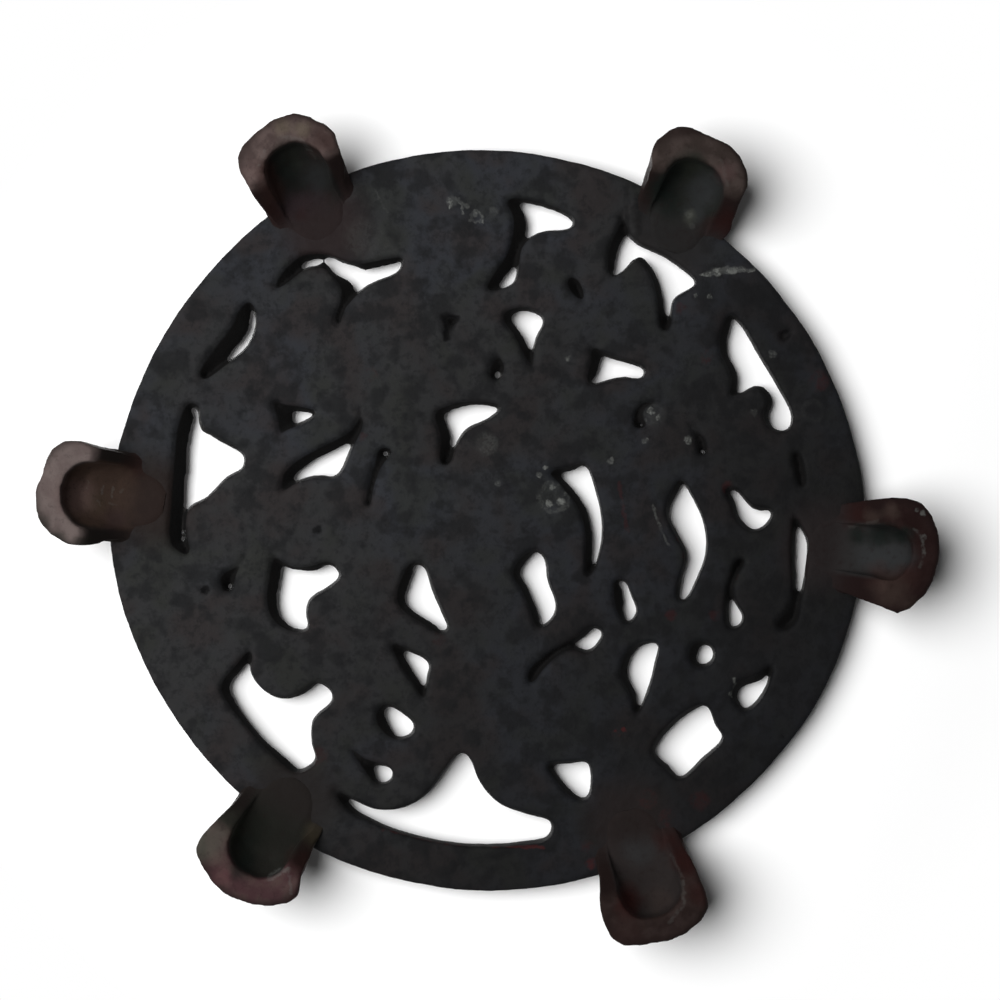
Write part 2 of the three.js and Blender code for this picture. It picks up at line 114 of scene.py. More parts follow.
class Bench:
    # makes the nodes of one material or world

    def __init__(self, tree):
        self.tree = tree
        tree.nodes.clear()

    def node(self, kind, settings=None, inputs=None, output=0):
        made = self.tree.nodes.new(kind)
        for name, value in (settings or {}).items():
            setattr(made, name, value)
        pairs = inputs.items() if isinstance(inputs, dict) else enumerate(inputs or [])
        for key, value in pairs:
            if isinstance(value, Wire):
                self.tree.links.new(value.socket, made.inputs[key])
            else:
                made.inputs[key].default_value = value
        return Wire(self, made.outputs[output])

    def shown(self, surface, kind="ShaderNodeOutputMaterial"):
        end = self.tree.nodes.new(kind)
        self.tree.links.new(surface.socket, end.inputs["Surface"])

    def maths(self, operation, *values):
        return self.node("ShaderNodeMath", {"operation": operation}, values)

    def clamped(self, value):
        return self.node("ShaderNodeMath", {"operation": "ADD", "use_clamp": True}, [value, 0])

    def vector(self, operation, *values, output=0):
        return self.node("ShaderNodeVectorMath", {"operation": operation}, values, output)

    def blend(self, share, *tints):
        # two colours, mixed by share, each a wire or three numbers in thousandths
        first, second = (tint if isinstance(tint, Wire) else colour(*tint, 1000) for tint in tints)
        settings = {"data_type": "RGBA", "clamp_factor": True}
        return self.node("ShaderNodeMix", settings, {0: share, 6: first, 7: second}, 2)

    def rise(self, value, low, high):
        # 0 below low, 1 above high, and a smooth step between
        settings = {"interpolation_type": "SMOOTHSTEP", "clamp": True}
        return self.node("ShaderNodeMapRange", settings, [value, low, high, 0, 1])

    def share(self, value, low, high, most=1):
        return self.rise(value, low, high) * most

    def place(self):
        return self.node("ShaderNodeTexCoord", output=3)

    def height(self, place):
        # in mm above the floor
        return self.node("ShaderNodeSeparateXYZ", inputs=[place], output=2) / mm

    def noise(self, place, size, detail=2, roughness=0.5, output=0):
        # size is that of one blotch, in mm; output 1 is the noise's colour
        inputs = {"Vector": place, "Scale": 1 / (size * mm), "Detail": detail, "Roughness": roughness}
        return self.node("ShaderNodeTexNoise", inputs=inputs, output=output)

    def wandering(self, place, size, reach):
        # the same place moved about a little, so that what is drawn there gets an uneven edge
        shift = self.vector("SUBTRACT", self.noise(place, size, detail=3, output=1), (0.5, 0.5, 0.5))
        spread = (2 * reach * mm, 2 * reach * mm, 0)
        return self.vector("ADD", place, self.vector("MULTIPLY", shift, spread))

    def bump(self, height, depth):
        # depth is how far height 1 stands above height 0, in mm
        inputs = {"Strength": 1, "Distance": depth * mm, "Height": height}
        return self.node("ShaderNodeBump", inputs=inputs)


def newMaterial(name):
    material = bpy.data.materials.new(name)
    material.use_nodes = True
    return material, Bench(material.node_tree)


# Light: a soft lamp low on the photograph's left, and a plain studio lamp above. Tilt is the angle
# off the vertical, and azimuth runs anticlockwise from +X, seen from above.
ambient = 0.04  # the world, where only the object's shading sees it
lamps = {
    "photoKey": {
        "azimuth": 12, "tilt": 31, "upward": False, "distance": 1.2, "width": 1.12, "power": 22.6,
    },
    "studioKey": {
        "azimuth": 20, "tilt": 36, "upward": True, "distance": 0.9, "width": 0.8, "power": 16,
    },
}

world = bpy.data.worlds.new("paleStudio")
bpy.context.scene.world = world
world.use_nodes = True
bench = Bench(world.node_tree)
rays = [f"Is {kind} Ray" for kind in ("Camera", "Glossy", "Transmission")]
seen = bench.clamped(sum(bench.node("ShaderNodeLightPath", output=ray) for ray in rays))
background = bench.node(
    "ShaderNodeBackground",
    inputs={"Color": colour(1, 1, 1), "Strength": ambient + (1 - ambient) * seen},
)
bench.shown(background, "ShaderNodeOutputWorld")


def softLamp(name, azimuth, tilt, upward, distance, width, power):
    flat, lean = math.radians(azimuth), math.radians(tilt)
    rise = math.cos(lean) if upward else -math.cos(lean)
    towards = Vector((math.sin(lean) * math.cos(flat), math.sin(lean) * math.sin(flat), rise))
    middle = Vector((0, 0, plateBottom * mm))
    bpy.ops.object.light_add(type="AREA", location=middle + towards * distance)
    lamp = bpy.context.object
    lamp.name = name
    lamp.rotation_euler = towards.to_track_quat("Z", "Y").to_euler()
    lamp.data.shape = "DISK"
    lamp.data.size = width
    lamp.data.energy = power


for name, row in lamps.items():
    softLamp(name, **row)

# Two white sheets, each seen from one side only: the floor under the feet, seen from above,
# and the sheet that the trivet lies on face down in the photograph, seen from below
sheets = {
    "width": 8,
    "floorGap": 0.05,  # between the soles and the floor, mm
    "photoGap": 0.9,   # between the rim bead and the photograph's sheet, mm
    "white": colour(0.98, 0.98, 0.98),
    "floorPlain": (0.14, 0.22),  # how far out, in metres, they turn plain white
    "photoPlain": (0.124, 0.15),
}


def sheetMaterial(name, plainFrom):
    material, bench = newMaterial(name + "White")
    face = bench.node("ShaderNodeBsdfDiffuse", inputs={"Color": sheets["white"]})
    plain = bench.node("ShaderNodeEmission", inputs={"Color": colour(1, 1, 1), "Strength": 1})
    clear = bench.node("ShaderNodeBsdfTransparent")
    fromMiddle = bench.vector("LENGTH", bench.place(), output=1)
    far = bench.rise(fromMiddle, *plainFrom)
    white = bench.node("ShaderNodeMixShader", inputs=[far, face, plain])
    behind = bench.node("ShaderNodeNewGeometry", output="Backfacing")
    surface = bench.node("ShaderNodeMixShader", inputs=[behind, white, clear])
    bench.shown(surface)
    return material


def whiteSheet(name, height, facesDown, plainFrom):
    turn = (math.pi, 0, 0) if facesDown else (0, 0, 0)
    bpy.ops.mesh.primitive_plane_add(size=sheets["width"], location=(0, 0, height * mm), rotation=turn)
    sheet = bpy.context.object
    sheet.name = name
    sheet.data.materials.append(sheetMaterial(name, plainFrom))
    for ray in ("diffuse", "glossy", "transmission", "shadow"):
        setattr(sheet, "visible_" + ray, False)


whiteSheet("floor", -sheets["floorGap"], False, sheets["floorPlain"])
whiteSheet("photoSheet", reliefTop + sheets["photoGap"], True, sheets["photoPlain"])
print("light and sheets ready")


# Modelling helpers
weldDistance = 0.001  # mm


def onlySelect(piece):
    bpy.ops.object.select_all(action="DESELECT")
    piece.select_set(True)
    bpy.context.view_layer.objects.active = piece


def mergedCopy(node, name):
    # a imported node's mesh is loose triangles, so a copy of it is merged
    piece = bpy.data.objects.new(name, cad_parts[node].data.copy())
    bpy.context.collection.objects.link(piece)
    onlySelect(piece)
    bpy.ops.object.mode_set(mode="EDIT")
    bpy.ops.mesh.select_all(action="SELECT")
    bpy.ops.mesh.remove_doubles(threshold=weldDistance * mm)
    bpy.ops.object.mode_set(mode="OBJECT")
    piece.data.materials.clear()
    return piece


def modify(piece, kind, **settings):
    modifier = piece.modifiers.new(kind.lower(), kind)
    for name, value in settings.items():
        setattr(modifier, name, value)
    onlySelect(piece)
    bpy.ops.object.modifier_apply(modifier=modifier.name)


def evenSkin(piece, voxel):
    modify(piece, "REMESH", mode="VOXEL", voxel_size=voxel * mm, use_smooth_shade=True)


def uneven(piece, layers):
    # the unevenness of a sand casting, as pairs of size and height in mm
    for index, (size, height) in enumerate(layers):
        texture = bpy.data.textures.new(f"{piece.name}Layer{index}", "CLOUDS")
        texture.noise_scale = size * mm
        texture.noise_depth = 1
        modify(piece, "DISPLACE", texture=texture, texture_coords="LOCAL",
               mid_level=0.5, strength=height * mm)


def thinned(piece, limit):
    count = sum(len(polygon.vertices) - 2 for polygon in piece.data.polygons)
    if count > limit:
        modify(piece, "DECIMATE", ratio=limit / count)
    print(piece.name, "had", count, "triangles")
    bpy.ops.object.shade_smooth()


def perVertex(values, field):
    flat = np.empty(len(values) * 3, dtype=np.float32)
    values.foreach_get(field, flat)
    return flat.reshape(-1, 3)


def points(piece):
    # where the vertices are, in mm
    return perVertex(piece.data.vertices, "co") / mm


def facings(piece):
    return perVertex(piece.data.vertex_normals, "vector")


def setPoints(piece, places):
    piece.data.vertices.foreach_set("co", (places * mm).astype(np.float32).ravel())
    piece.data.update()


def evenedOut(piece, values, rounds):
    # three numbers a vertex, averaged with the neighbours' some times
    ends = np.empty(len(piece.data.edges) * 2, dtype=np.int32)
    piece.data.edges.foreach_get("vertices", ends)
    first, second = ends.reshape(-1, 2).T
    neighbours = np.bincount(ends, minlength=len(values))[:, None]
    for step in range(rounds):
        total = [np.bincount(first, values[second, axis], len(values))
                 + np.bincount(second, values[first, axis], len(values)) for axis in range(3)]
        values = (values + np.stack(total, axis=1) / neighbours) / 2
    return values


def smoothStep(values, low, high):
    share = np.clip((values - low) / (high - low), 0, 1)
    return share * share * (3 - 2 * share)


def kneaded(piece, knobs):
    # each knob is a place (u, v, height), how far round it the metal moves, and how far it moves
    # to the photograph's right, up and away from the camera, all in mm
    places = points(piece)
    for u, v, height, reach, right, up, away in knobs:
        middle = np.array(seenAt(u, v, height)) / mm
        share = np.clip(1 - (np.linalg.norm(places - middle, axis=1) / reach) ** 2, 0, 1) ** 2
        places += share[:, None] * np.array((-right, up, away))
    setPoints(piece, places)


# Marks on the iron, placed as the photograph shows them. Each row ends with its strength, after a
# spot's middle and radius, a stroke's two ends and width, or a ring's middle, radius and width.
def spotMask(bench, flat, middle, radius, soft=0.35):
    away = bench.vector("DISTANCE", flat, middle, output=1)
    return 1 - bench.rise(away, radius * (1 - soft) * mm, radius * (1 + soft) * mm)


def strokeMask(bench, flat, first, last, width, soft=0.55):
    run = last - first
    along = bench.vector("SUBTRACT", flat, first)
    share = bench.clamped(bench.vector("DOT_PRODUCT", along, run / run.length_squared, output=1))
    nearest = bench.node("ShaderNodeVectorMath", {"operation": "SCALE"}, {0: run, 3: share})
    away = bench.vector("DISTANCE", along, nearest, output=1)
    return 1 - bench.rise(away, width * (0.5 - soft / 2) * mm, width * (0.5 + soft / 2) * mm)


def ringMask(bench, flat, middle, radius, width, soft=(0.2, 0.75)):
    away = bench.vector("DISTANCE", flat, middle, output=1)
    return 1 - bench.rise(abs(away - radius * mm), width * soft[0] * mm, width * soft[1] * mm)


def markMask(bench, flat, marks, height=plateBottom):
    # the strongest of all the marks at each place, for marks at one height
    def spot(u, v):
        return seenAt(u, v, height).to_2d().to_3d()

    masks = [spotMask(bench, flat, spot(u, v), radius) * strength
             for u, v, radius, strength in marks.get("spots", [])]
    masks += [strokeMask(bench, flat, spot(u, v), spot(toU, toV), width) * strength
              for u, v, toU, toV, width, strength in marks.get("strokes", [])]
    masks += [ringMask(bench, flat, spot(u, v), radius, width) * strength
              for u, v, radius, width, strength in marks.get("rings", [])]
    total = masks[0]
    for mask in masks[1:]:
        total = bench.maths("MAXIMUM", total, mask)
    return total


# Iron of the plate, with its colours in thousandths
plateFinish = {
    "slate": (19, 20.3, 24),
    "ash": (19.2, 19.4, 20.1),
    "umber": (18.7, 15.6, 15.6),
    "olive": (15.8, 16.7, 14.2),
    "dark": (6.2, 6.4, 7),
    # painted shade: the colour of the underside's darkening and of the painted shade marks
    "shade": (1.6, 1.5, 1.7),
    # painted shade: the openings' walls, much darker than the underside
    "wall": (4.2, 4, 4),
    "rust": (60, 9, 9),
    "residue": (150, 155, 145),
    # painted sheen: the top face is lighter than the underside, standing in for its shine
    "top": (28, 27.5, 27.5),
    "worn": (90, 90, 94),
    "specular": 0.06,
    "roughness": 0.6,
    "fleckRoughness": 0.2,     # and this much more in the flecks
    "wallRoughness": 0.15,     # and in the openings
    # size in mm, detail, roughness
    "noises": {
        "clouds": (34, 2), "patches": (15, 3), "blotches": (5.5, 3), "flecks": (1.9, 4, 0.65),
        "grain": (0.6, 2),
    },
    # the noise that brings a tint, the tint, from which value to which, and its most
    "mottling": [
        ("clouds", "ash", 0.42, 0.58, 1), ("patches", "umber", 0.48, 0.64, 0.8),
        ("gaps", "olive", 0.5, 0.66, 0.6), ("blotches", "dark", 0.46, 0.64, 0.75),
        ("flecks", "dark", 0.48, 0.66, 0.5),
    ],
    "shadeFrom": (-50, 30),    # painted shade: the plate darkens away from the lamp, from here, (u, v) in mm
    "shadeTo": (80, -50),      # to here
    "shadeWander": 0.5,        # how far the clouds move that change, as a share of the way
    "shadeMost": 0.8,
    "rootSpot": (10.5, 0.45),  # radius and softness of the tint round a foot's root
    "rootMost": 0.8,
    "markWander": (1.6, 0.9),  # how unevenly marks are edged: size and reach, mm
    "underEnds": (plateBottom + 0.7, plateBottom + 1.3),  # heights over which the marks end
    "rustWhere": (0.8, 1.15),
    "crackle": (0.3, 0.4, 0.42, 0.6),  # least of the lime that shows, the grain's part, from, to
    "topStarts": (webTop - 0.9, webTop - 0.3),
    "topMost": 0.75,
    "wallsWithin": (87, 90),   # beyond this radius a wall is the rim's, and no opening's
    "crowns": (reliefTop - 0.7, reliefTop),  # heights over which the relief is worn bright
    "crownFlecks": (0.42, 0.6, 0.8),
    "bump": (1, 0.6, 0.2, 0.6, 0.22),  # of blotches, flecks, grain and lime, and their depth in mm
}

# Pale lime marks on the underside
limeMarks = {
    "spots": [
        (20.2, 40.3, 0.7, 0.45), (39.5, 19.5, 0.8, 0.5), (31, 14.5, 0.7, 0.3), (2.8, 8.8, 0.7, 0.3),
        (61.3, -43.8, 0.8, 0.5), (52.2, 56, 0.6, 0.5), (55.8, 55.5, 0.6, 0.4), (71.3, 41.3, 0.9, 0.2),
        (66.8, 26.8, 0.9, 0.2), (50.3, 19.8, 1, 0.5), (41.5, 26, 2.8, 0.07), (41, 27, 0.8, 0.6),
        (42.8, 25.4, 0.7, 0.45), (39.6, 24.6, 0.6, 0.4), (17, 5.5, 3.6, 0.07), (13.2, 11, 0.7, 0.6),
        (14.6, 12.9, 0.6, 0.6), (16.4, 7.9, 0.9, 0.5), (18.4, 4.3, 1, 0.7), (15.6, 3.9, 0.8, 0.6),
        (19.8, 6.4, 0.6, 0.4), (-8.8, 79.3, 1.3, 0.45), (-0.2, 18.8, 2.8, 0.13), (-30.5, 69.8, 5, 0.07),
        (-26, 66, 3.5, 0.06), (37.8, -78.3, 2.2, 0.1), (-2.9, 76.4, 0.7, 0.7), (-1.4, 74.6, 0.6, 0.5),
        (-4.2, 74.8, 0.5, 0.5), (1.6, 76.8, 1.2, 0.14),
    ],
    "strokes": [
        (53.5, 61.1, 66.8, 62.4, 0.9, 0.6), (57, 61.8, 60, 62.3, 1.6, 0.7),
        (61.5, 62.3, 64, 62.5, 1.4, 0.5), (41.5, 3.5, 43.5, -2.8, 0.7, 0.22),
        (43.5, -2.8, 45.3, -6.5, 0.6, 0.16), (61.7, -40.3, 62.4, -43, 0.9, 0.4),
        (-28, 82.2, -25, 76.7, 0.5, 0.1), (-9.3, 79.8, -9.3, 78, 0.6, 0.7),
        (-7.8, 80, -4.9, 78, 0.8, 0.6), (-6.8, 79.8, -5.9, 76.5, 0.6, 0.5),
    ],
    "rings": [(16.8, 5.5, 3.6, 1.2, 0.16), (-2.6, 75.6, 1.3, 0.7, 0.3), (81.5, 27.1, 2.4, 1.2, 0.03)],
}
rustMarks = {
    "spots": [
        (83, 34.5, 2.4, 0.14), (54.8, 40.5, 1.6, 0.16), (48.5, 52.8, 1.5, 0.14),
        (53.3, -70.3, 2.4, 0.12), (45.3, -75, 2.2, 0.16), (26, -86, 1.4, 0.35), (25, -82, 1.6, 0.12),
        (32.3, -53.8, 0.9, 0.8), (34.2, -52.6, 0.6, 0.6), (48.5, -4.5, 1.3, 0.2), (50, -9, 1.2, 0.16),
        (-29, 36, 1.6, 0.16), (57, -24, 1.4, 0.12), (-42, -59, 2.2, 0.12), (40, -70, 2.2, 0.12),
        (-31, 20.5, 1, 0.1), (60, 8, 1.4, 0.16), (46, -24, 1.4, 0.16), (62, -14, 1.2, 0.14),
        (-12, -30, 1.6, 0.08),
    ],
    "strokes": [
        (-10, -81.2, 14, -82.2, 0.8, 0.35), (-26, -77.6, -12, -80.7, 0.8, 0.2),
        (33, 9, 35, -3, 1, 0.14),
    ],
}
# Painted shade, nearly black: in pits and small openings, a cast shadow beside the ridge by the upper
# right foot, and a broad darker patch at the upper right of the rim
paintedShadeMarks = {
    "spots": [
        (25.1, -13.3, 1.3, 0.9), (-70.5, -17.8, 1.1, 0.9), (-42.4, -2.8, 1.1, 0.8),
        (74.6, 46, 1.5, 0.9), (-9.8, 50, 1.6, 0.9), (62, 51, 1.3, 0.7), (70, 50, 15, 0.35),
    ],
    "strokes": [
        (-10.9, 50.6, -7.5, 50.3, 1.7, 0.95), (-9.9, 50, -10.1, 45.4, 1.7, 0.95),
        (34.8, 83.5, 35.1, 71.5, 1.2, 0.4), (-52.9, 29.4, -51.4, 24.5, 1.6, 0.6),
    ],
}


def castIron(bench, finish, skin, roughness, layers):
    # the surface stands out by each layer times its part of the bump
    *parts, depth = finish["bump"]
    bench.shown(bench.node("ShaderNodeBsdfPrincipled", inputs={
        "Base Color": skin,
        "Roughness": roughness,
        "Specular IOR Level": finish["specular"],
        "Normal": bench.bump(sum(part * layer for part, layer in zip(parts, layers)), depth),
    }))


def plateIron():
    finish = plateFinish
    material, bench = newMaterial("blackCastIron")
    place = bench.place()
    flat = bench.vector("MULTIPLY", place, (1, 1, 0))
    height = bench.height(place)
    noises = {name: bench.noise(place, *row) for name, row in finish["noises"].items()}
    noises["gaps"] = 1 - noises["patches"]
    skin = finish["slate"]
    for name, tint, low, high, most in finish["mottling"]:
        skin = bench.blend(bench.share(noises[name], low, high, most), skin, finish[tint])

    # Painted shade: the underside darkens towards the lower right, away from the lamp
    start, end = fromBelow(*finish["shadeFrom"]), fromBelow(*finish["shadeTo"])
    run = end - start
    across = bench.vector("DOT_PRODUCT", bench.vector("SUBTRACT", flat, start), run, output=1)
    across = across / run.length_squared + finish["shadeWander"] * (noises["clouds"] - 0.5)
    skin = bench.blend(bench.share(across, 0, 1, finish["shadeMost"]), skin, finish["shade"])

    drawn = bench.wandering(flat, *finish["markWander"])
    for row in feet.values():
        root = spotMask(bench, drawn, atBearing(row["bearing"], row["rootAt"]), *finish["rootSpot"])
        skin = bench.blend(root * finish["rootMost"], skin, row["root"])

    blotches, flecks, grain = noises["blotches"], noises["flecks"], noises["grain"]
    under = 1 - bench.rise(height, *finish["underEnds"])
    rusty = bench.rise(blotches + flecks, *finish["rustWhere"])
    least, ofGrain, low, high = finish["crackle"]
    crackle = bench.rise(flecks + ofGrain * (grain - 0.5), low, high)
    lime = markMask(bench, drawn, limeMarks) * under * (least + (1 - least) * crackle)
    fromMiddle = bench.vector("DISTANCE", flat, fromBelow(0, 0), output=1) / mm
    # the top face, lightened as a painted sheen
    onTop = bench.rise(height, *finish["topStarts"])
    # the openings' walls, darkened as painted shade and made rougher
    inOpening = (1 - under) * (1 - onTop) * (1 - bench.rise(fromMiddle, *finish["wallsWithin"]))
    crowns = bench.rise(height, *finish["crowns"]) * bench.share(flecks, *finish["crownFlecks"])
    layers = [
        # painted shade marks
        (markMask(bench, drawn, paintedShadeMarks) * under, "shade"),
        (markMask(bench, drawn, rustMarks) * rusty * under, "rust"),
        (lime, "residue"), (inOpening, "wall"), (onTop * finish["topMost"], "top"), (crowns, "worn"),
    ]
    for share, tint in layers:
        skin = bench.blend(share, skin, finish[tint])

    roughness = finish["roughness"] + finish["fleckRoughness"] * flecks
    roughness = roughness + finish["wallRoughness"] * inOpening
    castIron(bench, finish, skin, roughness, [blotches, flecks, grain, lime])
    return material


# The top face's ornament, as in the solids: leaves from base to tip (u, v), and blossoms
leafShape = {
    "edge": 0.5,              # how high the edge stands over the web, mm
    "widestAt": 0.8,          # under 1 the leaf is widest nearer its base
    "fullness": 0.6,          # under 1 its crown is broad
    "midrib": (0.55, 0.6),    # depth and half width of the groove down the middle
    "veins": (0.32, 0.45),
    "veinGap": 4.4,
    "veinSlant": 1.15,
    "veinsFrom": (0.4, 1.2),  # how far from the midrib they begin
    "sides": 0.35,            # how soon the edge rises, mm
    "ends": 0.03,             # and at its ends, as a share of its length
}
leaves = [
    ((-11.75, 81), (-12.5, 55), 15), ((-56, 33.5), (-46.5, 57), 11), ((-38, 35), (-17.5, 58), 15),
    ((-21.75, 20), (-21.75, 43.5), 12), ((-21.5, -5), (-46, 2.5), 10), ((-29.5, -10), (-30.5, -40), 11),
    ((-71.5, -5.5), (-54.5, 9.5), 10), ((-35.5, -42.75), (-39, -61), 8), ((-11.5, -50), (-24, -69), 9),
    ((2, -57), (-4, -13), 18), ((7.5, -69.5), (17.5, -41), 14), ((32, -74), (29.5, -37), 11),
    ((69.5, -26.5), (69, -5.5), 8.5), ((29, 18.5), (50, 14.5), 9), ((31, 22), (12, 33), 11),
    ((38.5, 43), (26, 59), 12), ((11.5, 57.5), (27.5, 73), 11), ((53.5, 26), (53, 50), 10),
    ((62.5, 11.5), (64.5, 27.5), 8),
]
blossomShape = {
    "petals": 5,
    "petalMiddle": 0.6,    # all as shares of the blossom's radius
    "petalLength": 0.43,
    "petalWidth": 0.36,
    "button": 0.24,
    "petalHeight": 0.92,   # as a share of the relief's height
    "crease": (0.3, 0.5),  # depth and half width of the groove down each petal, mm
    "creaseFrom": 0.4,     # where the petal stands higher than this
}
blossoms = [((-2, 1.5), 11), ((-50, -34.5), 7.5), ((37, -4.5), 8), ((66.5, -31.5), 5), ((-8, 37), 6),
            ((18.5, 43.5), 4.5)]
stemShape = {"radius": 1.3, "height": 1.15}
stems = [
    [(-12.5, 56), (-15, 50), (-14.5, 44), (-11, 40)], [(6, 9), (12, 17), (22, 18.5), (30, 20)],
    [(-12, 5), (-17, 9), (-20, 14), (-21.75, 20)], [(-12, -2), (-21.5, -5), (-26, -8), (-29.5, -10)],
    [(37, 3), (36, 10), (31, 17)],
    [(38, -12), (41.5, -20), (44, -28), (46.5, -36), (45, -44), (40, -53), (35, -56)],
    [(2, -57), (4, -62), (6.5, -67), (10, -71), (18, -73), (24, -74.5), (32, -74), (33, -83)],
    [(-11.5, -50), (-12, -46), (-9, -41)], [(-30.5, -40), (-33, -42), (-35.5, -42.75)],
    [(-44, -35.5), (-38.5, -38.5), (-35.5, -42)],
    [(-55, -30), (-59, -24), (-58.3, -16), (-57, -9), (-58, -2)],
    [(-54.5, 9.5), (-56, 14), (-56.5, 20), (-58, 27), (-56, 33.5)],
    [(-38, 35), (-37.5, 29), (-41, 23), (-46.5, 19.5), (-55.5, 15)],
    [(38.5, 43), (43, 40.5), (47, 34), (50, 28.5), (53.5, 26), (57.5, 22), (58.5, 15), (62.5, 11.5)],
    [(62.5, 11.5), (57, 8), (57, 0), (57.3, -9), (56.5, -20), (57, -28), (62, -31)],
    [(11.5, 57.5), (15.5, 54.5), (18, 48)], [(18.5, 39), (19, 34), (18, 31)], [(-12, 82), (-13, 86)],
]
bead = {"radius": 89.8, "halfWidth": 1.6, "stopsFrom": (5.6, 7.2)}  # it stops short of the rivet heads


def dome(squared):
    return np.sqrt(np.clip(1 - squared, 0, 1))


def leafHeights(u, v, base, tip, width):
    # how high one leaf stands over the web at each place, in mm
    run = np.subtract(tip, base)
    length = np.hypot(*run)
    forward, aside = run / length, np.array((-run[1], run[0])) / length
    u, v = u - base[0], v - base[1]
    along = u * forward[0] + v * forward[1]
    across = np.abs(u * aside[0] + v * aside[1])
    share = np.clip(along / length, 0, 1)
    half = np.maximum(width / 2 * np.sin(np.pi * share ** leafShape["widestAt"]), 0.01)
    belly = np.clip(1 - (across / half) ** 2, 0, 1)
    crown = reliefTop - webTop
    height = leafShape["edge"] + (crown - leafShape["edge"]) * belly ** leafShape["fullness"]
    depth, spread = leafShape["midrib"]
    height -= depth * np.exp(-(across / spread) ** 2)
    gap, slant = leafShape["veinGap"], leafShape["veinSlant"]
    step = (along - across * slant + gap / 2) % gap - gap / 2
    depth, spread = leafShape["veins"]
    begun = smoothStep(across, *leafShape["veinsFrom"])
    height -= depth * np.exp(-(step / math.hypot(1, slant) / spread) ** 2) * begun
    ends = leafShape["ends"]
    inside = smoothStep(half - across, 0, leafShape["sides"])
    inside *= smoothStep(share, 0, ends) * smoothStep(1 - share, 0, ends)
    return np.maximum(height, 0) * inside


def blossomHeights(u, v, centre, radius):
    u, v = u - centre[0], v - centre[1]
    out = np.hypot(u, v) / radius
    turn = 2 * np.pi / blossomShape["petals"]
    angle = (np.arctan2(v, u) + turn / 2) % turn - turn / 2
    forward, aside = out * np.cos(angle), out * np.sin(angle)
    round2 = ((forward - blossomShape["petalMiddle"]) / blossomShape["petalLength"]) ** 2
    round2 += (aside / blossomShape["petalWidth"]) ** 2
    crown = reliefTop - webTop
    petal = crown * blossomShape["petalHeight"] * dome(round2)
    depth, spread = blossomShape["crease"]
    petal -= depth * np.exp(-(aside * radius / spread) ** 2) * (petal > blossomShape["creaseFrom"])
    return np.maximum(petal, crown * dome((out / blossomShape["button"]) ** 2))


def stemHeights(u, v, route):
    nearest = np.full(u.shape, np.inf)
    for first, second in zip(route, route[1:]):
        run = np.subtract(second, first)
        share = np.clip(((u - first[0]) * run[0] + (v - first[1]) * run[1]) / (run @ run), 0, 1)
        away = np.hypot(u - first[0] - share * run[0], v - first[1] - share * run[1])
        nearest = np.minimum(nearest, away)
    return stemShape["height"] * dome((nearest / stemShape["radius"]) ** 2)


def beadHeights(u, v):
    aside = (np.hypot(u, v) - bead["radius"]) / bead["halfWidth"]
    height = (reliefTop - webTop) * dome(aside ** 2)
    for row in feet.values():
        head = atBearing(row["bearing"], tenonCircle) / mm
        away = np.hypot(u - (plateMiddle[0] - head.x), v - (head.y - plateMiddle[1]))
        height *= smoothStep(away, *bead["stopsFrom"])
    return height


# The plate
plateShape = {
    "voxel": 0.5,
    "wallLean": 0.85,       # a face that leans less than this is a wall
    "wallsWithin": 88,      # of an opening, when it is nearer the plate's middle than this
    "tenonRoom": 4.6,       # and further from the tenons' middles than this
    "spreadRounds": 6,      # how far the walls' directions are averaged
    "fullFrom": 1 / 3,      # length of an averaged direction that still counts in full
    "draft": 0.9,           # how much narrower the openings are at the top face, each side
    # more on walls that face the photograph's right: at the plate's centre, and how it changes to
    # the right and up, per mm
    "leftDraft": (2.3, -0.012, 0.015),
    "topDraft": 0.45,       # more on walls that face down the photograph
    "rightDraft": (0.85, -20, 50),  # share taken off walls that face left, from u to u
    "easedCore": 0.5,       # part of the reach in which an eased draft is eased in full
    # places with a draft of their own: where, reach, and how many times the draft is there
    "eased": [
        ((-36.8, 63.5), 5.5, 0.35), ((49.5, -5.8), 15, 0.6), ((-12, -72), 24, 0.3),
        ((-52, -46), 17, 0.55), ((40, 62), 15, 0.75), ((-64.5, 45), 11, 1.3), ((-49, 25.5), 7, 1.5),
        ((-24, -51), 6, 1.8), ((8.8, 69), 12, 1.1), ((53.5, -33.5), 6, 2.8), ((-41, 16), 12, 1.15),
        ((2, 37.5), 6, 1.5), ((-28, 10), 9, 1.3), ((-63, -13), 7, 1.3), ((12.5, -37), 5, 1.5),
        ((78, 12.5), 7, 1.5), ((75.8, -24), 7, 2.2), ((52.5, 19.5), 6, 1.6), ((-29.5, -61.8), 7, 1.6),
        ((9.5, 46.5), 7, 0.85), ((34, -20), 6, 1.6), ((38, -38.5), 9, 1.4), ((66, -42.5), 8, 1.7),
        ((34.5, 66), 5, 1.6), ((-43, 64), 4, 1.6), ((-72, 25.5), 5, 1.7), ((-75, -6.5), 5, 1.7),
        ((62.5, 46.5), 5, 1.6),
    ],
    "wallRounds": 14,       # smoothing of the walls
    "softened": 1.6,        # how high above the underside the edges are worn round
    "softRounds": 8,
    "rounds": 3,
    "rim": (0.62, 0.12, -0.36),  # how much wider the rim is cast, and more of it right and up, mm
    "rimBulges": [(-45, 28, -0.55), (32, 22, 0.35), (198, 16, 0.25)],  # bearing, spread, more
    "rimFrom": (90, 92.6),  # radius from which it is wider, and fully
    "topFrom": 0.35,        # the relief rises from faces this little below the web's top
    "topLean": 0.25,        # that face up at least this much
    "layers": [(13, 0.45), (1.7, 0.12)],  # size and height of the unevenness
    "most": 190000,
}
tenonCircle = 87  # the feet's tenons stand on this radius
